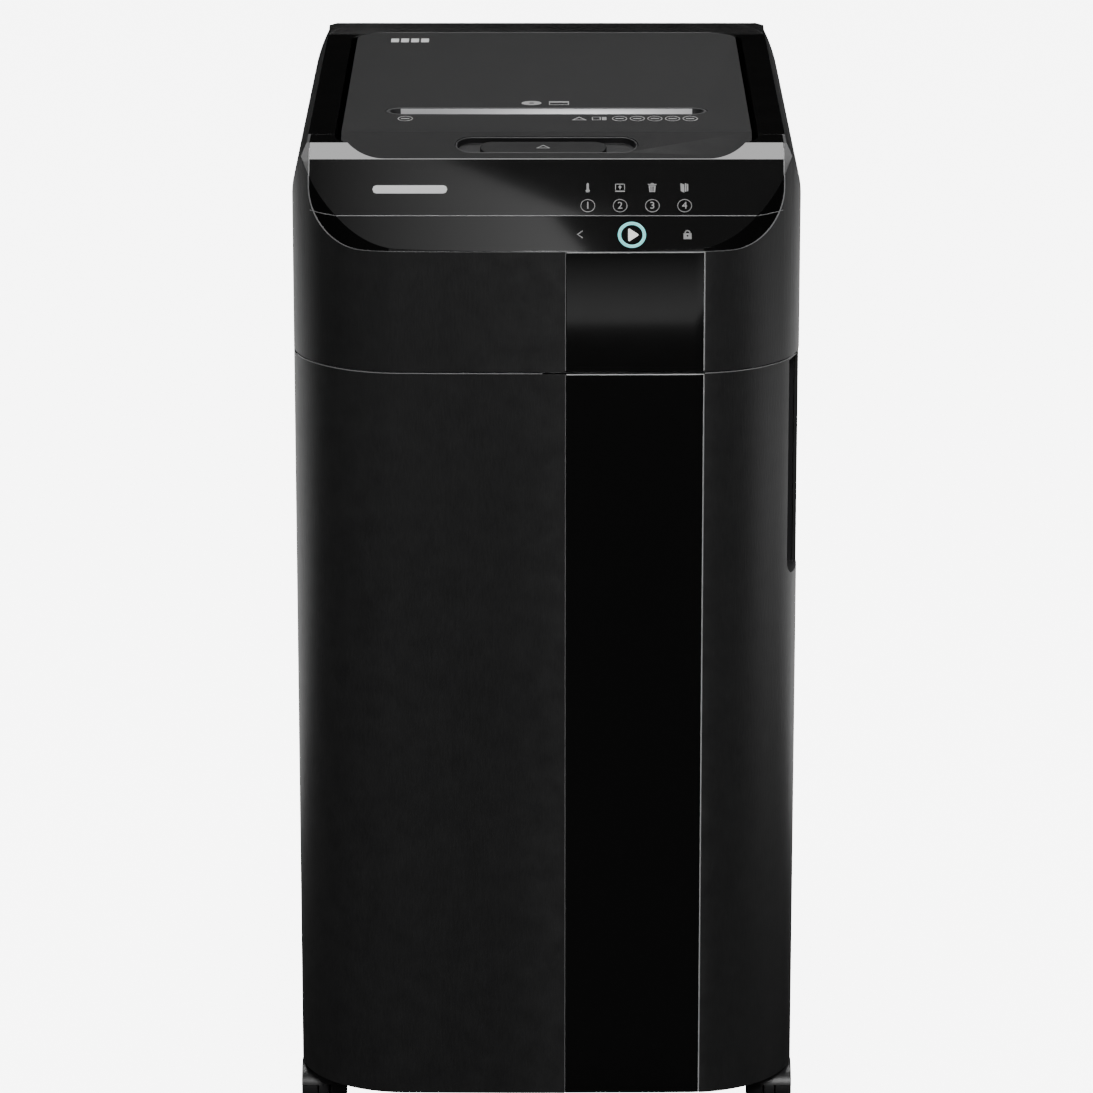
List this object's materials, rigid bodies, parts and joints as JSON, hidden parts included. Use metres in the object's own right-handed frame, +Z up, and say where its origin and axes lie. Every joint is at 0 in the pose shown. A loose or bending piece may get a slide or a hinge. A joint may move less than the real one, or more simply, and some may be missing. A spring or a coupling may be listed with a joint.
{
  "type": "paper shredder",
  "caption": "Tall floor-standing auto-feed paper shredder on casters: hinged lid with a manual slot over a paper tray, geared cutters, sloped control panel and pull-out bin.",
  "frame": {"origin": "on the floor, below the middle of the cabinet's bounding box", "axes": "+X right, +Y to the rear (the control panel faces -Y), +Z up"},
  "size_m": [0.4, 0.56, 0.814],
  "materials": {
    "gloss_black": "high gloss",
    "shell_charcoal": "fine matte grain",
    "lid_grey": "fine matte grain",
    "trim_silver": "satin silver",
    "inner_black": "matte",
    "steel": "bright machined",
    "zinc_plate": "zinc plated",
    "rubber": "matte",
    "nylon": "satin",
    "board_green": "satin",
    "lens_cyan": "translucent lit",
    "switch_red": "gloss"
  },
  "bodies": {
    "root": {"control_panel": "gloss_black", "start_button_lens": "lens_cyan", "head_stripe": "gloss_black", "head_front_cover": "shell_charcoal", "top_frame": "gloss_black", "head_shell": "shell_charcoal", "rear_vent": "inner_black", "power_inlet": "inner_black", "switch_housing": "inner_black", "control_board": "board_green", "power_board": "board_green", "hinge_pins": "steel", "paper_tray": "inner_black", "gear_cover": "zinc_plate", "cutter_side_plates": "zinc_plate", "tie_rods": "steel", "shaft_bushes": "nylon", "stripper_combs": "nylon", "motor": "zinc_plate", "motor_cradle": "inner_black", "drive_belt": "rubber", "base_plate": "zinc_plate", "caster_sockets": "inner_black", "left_side_panel": "shell_charcoal", "right_side_panel": "shell_charcoal", "rear_panel": "shell_charcoal", "rear_panel_screws": "steel", "cutter_deck": "zinc_plate", "discharge_chute": "inner_black", "bin_rails": "zinc_plate"},
    "lid": {"lid_cover": "lid_grey", "slot_trim": "trim_silver", "lid_liner": "inner_black", "latch_well": "inner_black", "pressure_springs": "steel"},
    "stack_plate": {"pressure_plate": "inner_black"},
    "latch": {"latch_button": "shell_charcoal", "latch_hook": "steel"},
    "bin": {"bin_front_panel": "shell_charcoal", "bin_stripe": "gloss_black", "bin_tub": "inner_black", "bin_glides": "nylon", "grip_cup": "inner_black"},
    "front_cutters": {"front_cutter": "steel", "front_shaft_gears": "nylon"},
    "rear_cutters": {"rear_cutter": "steel", "rear_shaft_gear": "nylon"},
    "idler": {"idler_gear": "nylon"},
    "motor_rotor": {"motor_pinion": "steel"},
    "feed_rolls": {"feed_shaft": "steel", "feed_rollers": "rubber"},
    "power_rocker": {"rocker_switch": "switch_red"},
    "front_left_swivel": {"front_left_caster_hood": "inner_black"},
    "front_left_wheels": {"front_left_caster_wheels": "rubber"},
    "front_right_swivel": {"front_right_caster_hood": "inner_black"},
    "front_right_wheels": {"front_right_caster_wheels": "rubber"},
    "rear_left_swivel": {"rear_left_caster_hood": "inner_black"},
    "rear_left_wheels": {"rear_left_caster_wheels": "rubber"},
    "rear_right_swivel": {"rear_right_caster_hood": "inner_black"},
    "rear_right_wheels": {"rear_right_caster_wheels": "rubber"}
  },
  "joints": [
    {"name": "lid_hinge", "type": "hinge", "parent": "root", "child": "lid", "pos_m": [0, 0.223, 0.804], "axis": [-1, 0, 0], "range_deg": [0, 70]},
    {"name": "stack_plate_lift", "type": "slide", "parent": "lid", "child": "stack_plate", "axis": [0, 0, 1], "range_m": [0, 0.02], "stiffness_N_per_m": 300, "springref_m": -0.02, "deforming": ["pressure_springs"]},
    {"name": "latch_slide", "type": "slide", "parent": "lid", "child": "latch", "axis": [0, 0.9602, 0.2791], "range_m": [0, 0.0045], "stiffness_N_per_m": 800, "springref_m": -0.004},
    {"name": "bin_slide", "type": "slide", "parent": "root", "child": "bin", "axis": [0, -1, 0], "range_m": [0, 0.42]},
    {"name": "front_cutter_spin", "type": "hinge", "parent": "root", "child": "front_cutters", "pos_m": [0, -0.123, 0.698], "axis": [1, 0, 0], "continuous": true},
    {"name": "rear_cutter_spin", "type": "hinge", "parent": "root", "child": "rear_cutters", "pos_m": [0, -0.085, 0.698], "axis": [1, 0, 0], "continuous": true},
    {"name": "idler_spin", "type": "hinge", "parent": "root", "child": "idler", "pos_m": [0, -0.0795, 0.698], "axis": [1, 0, 0], "continuous": true},
    {"name": "motor_spin", "type": "hinge", "parent": "root", "child": "motor_rotor", "pos_m": [0, -0.02825, 0.698], "axis": [1, 0, 0], "continuous": true},
    {"name": "feed_spin", "type": "hinge", "parent": "root", "child": "feed_rolls", "pos_m": [0, -0.054, 0.733], "axis": [1, 0, 0], "continuous": true},
    {"name": "power_rocker_tilt", "type": "hinge", "parent": "root", "child": "power_rocker", "pos_m": [0.082, 0.273, 0.69], "axis": [-1, 0, 0], "range_deg": [0, 10]},
    {"name": "front_left_swivel_turn", "type": "hinge", "parent": "root", "child": "front_left_swivel", "pos_m": [-0.182, -0.184, 0.046], "axis": [0, 0, 1], "continuous": true},
    {"name": "front_left_wheels_roll", "type": "hinge", "parent": "front_left_swivel", "child": "front_left_wheels", "pos_m": [-0.182, -0.2, 0.0195], "axis": [1, 0, 0], "continuous": true},
    {"name": "front_right_swivel_turn", "type": "hinge", "parent": "root", "child": "front_right_swivel", "pos_m": [0.182, -0.184, 0.046], "axis": [0, 0, 1], "continuous": true},
    {"name": "front_right_wheels_roll", "type": "hinge", "parent": "front_right_swivel", "child": "front_right_wheels", "pos_m": [0.182, -0.2, 0.0195], "axis": [1, 0, 0], "continuous": true},
    {"name": "rear_left_swivel_turn", "type": "hinge", "parent": "root", "child": "rear_left_swivel", "pos_m": [-0.182, 0.184, 0.046], "axis": [0, 0, 1], "continuous": true},
    {"name": "rear_left_wheels_roll", "type": "hinge", "parent": "rear_left_swivel", "child": "rear_left_wheels", "pos_m": [-0.182, 0.2, 0.0195], "axis": [1, 0, 0], "continuous": true},
    {"name": "rear_right_swivel_turn", "type": "hinge", "parent": "root", "child": "rear_right_swivel", "pos_m": [0.182, 0.184, 0.046], "axis": [0, 0, 1], "continuous": true},
    {"name": "rear_right_wheels_roll", "type": "hinge", "parent": "rear_right_swivel", "child": "rear_right_wheels", "pos_m": [0.182, 0.2, 0.0195], "axis": [1, 0, 0], "continuous": true}
  ],
  "couplings": [
    {"joint": "rear_cutter_spin", "follows": "front_cutter_spin", "ratio": -1},
    {"joint": "idler_spin", "follows": "front_cutter_spin", "ratio": -3.1429},
    {"joint": "motor_spin", "follows": "front_cutter_spin", "ratio": 12.964},
    {"joint": "feed_spin", "follows": "front_cutter_spin", "ratio": 1.5}
  ]
}
